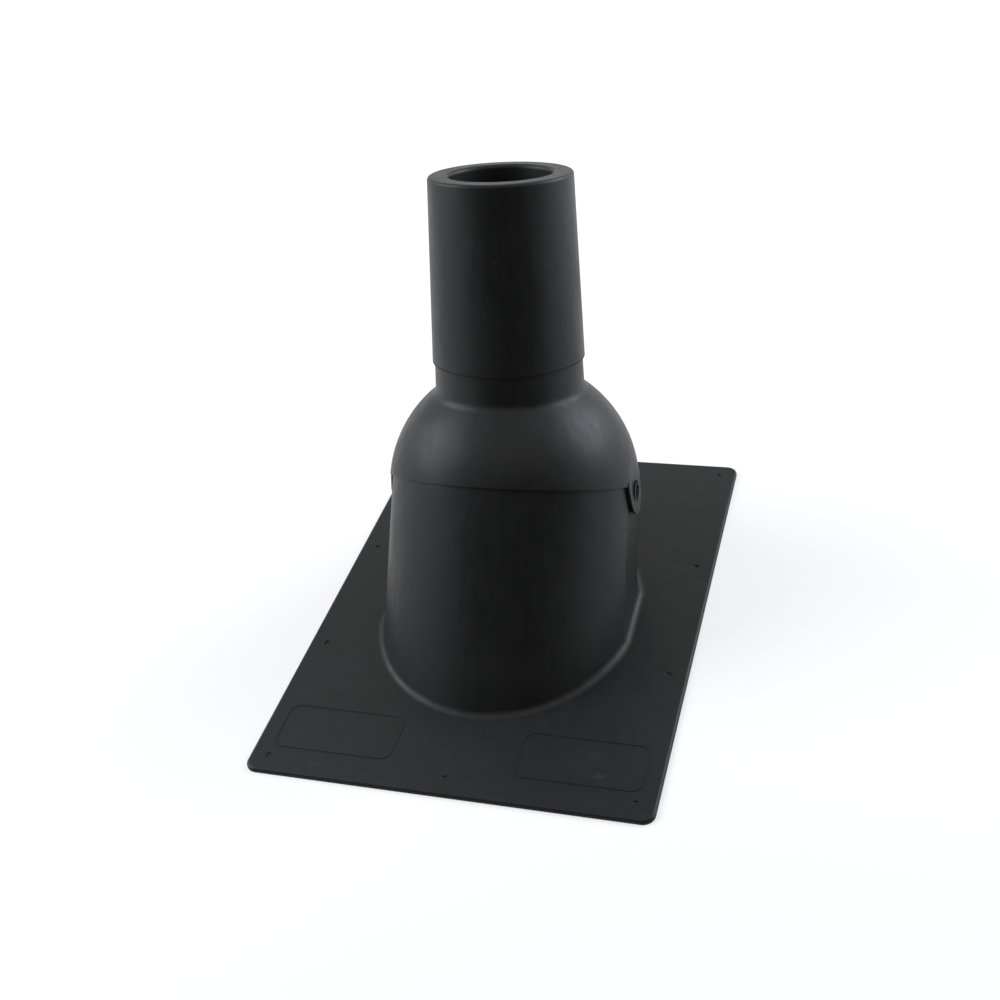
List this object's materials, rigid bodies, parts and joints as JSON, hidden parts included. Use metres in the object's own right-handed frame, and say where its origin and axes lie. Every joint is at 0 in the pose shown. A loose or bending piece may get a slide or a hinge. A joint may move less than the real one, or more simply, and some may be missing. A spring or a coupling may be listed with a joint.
{
  "type": "pipe flashing boot",
  "caption": "Roof flashing for a vent pipe: flat plate with a leaning collar, a dome and neck that swivel on side pins, and a loose sleeve that slides on the neck.",
  "frame": {"origin": "middle of the plate's underside, which is the bottom centre of the whole part", "axes": "+X across the roof slope and along the swivel pins, +Y up the slope, +Z out of the roof"},
  "size_m": [0.2666, 0.3556, 0.2988],
  "materials": {
    "black_polypropylene": "moulded black polypropylene, satin, faint scuffs"
  },
  "bodies": {
    "base_body": {"base": "black_polypropylene"},
    "dome_body": {"swivel_dome": "black_polypropylene"},
    "sleeve_body": {"pipe_sleeve": "black_polypropylene"}
  },
  "joints": [
    {"name": "neck_swivel", "type": "hinge", "parent": "base_body", "child": "dome_body", "pos_m": [0, 0.0365, 0.0819], "axis": [-1, 0, 0], "range_deg": [-3, 29.8]},
    {"name": "sleeve_slide", "type": "slide", "parent": "dome_body", "child": "sleeve_body", "axis": [0, 0.2656, 0.9641], "range_m": [0, 0.045]}
  ]
}
